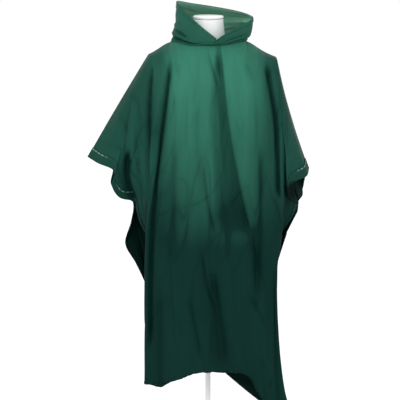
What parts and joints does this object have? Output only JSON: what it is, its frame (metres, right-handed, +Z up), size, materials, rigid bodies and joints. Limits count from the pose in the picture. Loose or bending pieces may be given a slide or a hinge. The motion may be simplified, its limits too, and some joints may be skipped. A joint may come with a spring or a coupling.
{
  "type": "rain poncho on a limbless dress form with a pole stand",
  "caption": "Green sheet vinyl rain poncho with an open hood and snapped sleeves, on a white limbless dress form and pole stand.",
  "frame": {"origin": "middle of the stand base's underside, on the pole's axis, at the surface it stands on", "axes": "+Z up along the pole, -Y the way the poncho's front faces, +X the wearer's left"},
  "size_m": [0.7935, 0.3945, 1.6496],
  "materials": {
    "vinyl": "satin translucent sheet vinyl",
    "vinyl_hem": "satin sheet vinyl, doubled and welded",
    "snap": "enamelled",
    "form": "smooth satin white",
    "stand": "satin black",
    "stand_base": "satin white"
  },
  "bodies": {
    "root": {"front_panel": "vinyl", "back_panel": "vinyl", "hood_left": "vinyl", "hood_right": "vinyl", "front_left_hem": "vinyl_hem", "front_right_hem": "vinyl_hem", "front_bottom_hem": "vinyl_hem", "back_left_hem": "vinyl_hem", "back_right_hem": "vinyl_hem", "back_bottom_hem": "vinyl_hem", "hood_left_hem": "vinyl_hem", "hood_right_hem": "vinyl_hem", "snap_left_front": "snap", "snap_right_front": "snap", "snap_left_back": "snap", "snap_right_back": "snap", "dress_form": "form", "neck_cap": "form", "form_collar": "stand", "stand_pole": "stand", "stand_base": "stand_base", "stand_lower_pole": "stand_base"}
  },
  "joints": []
}
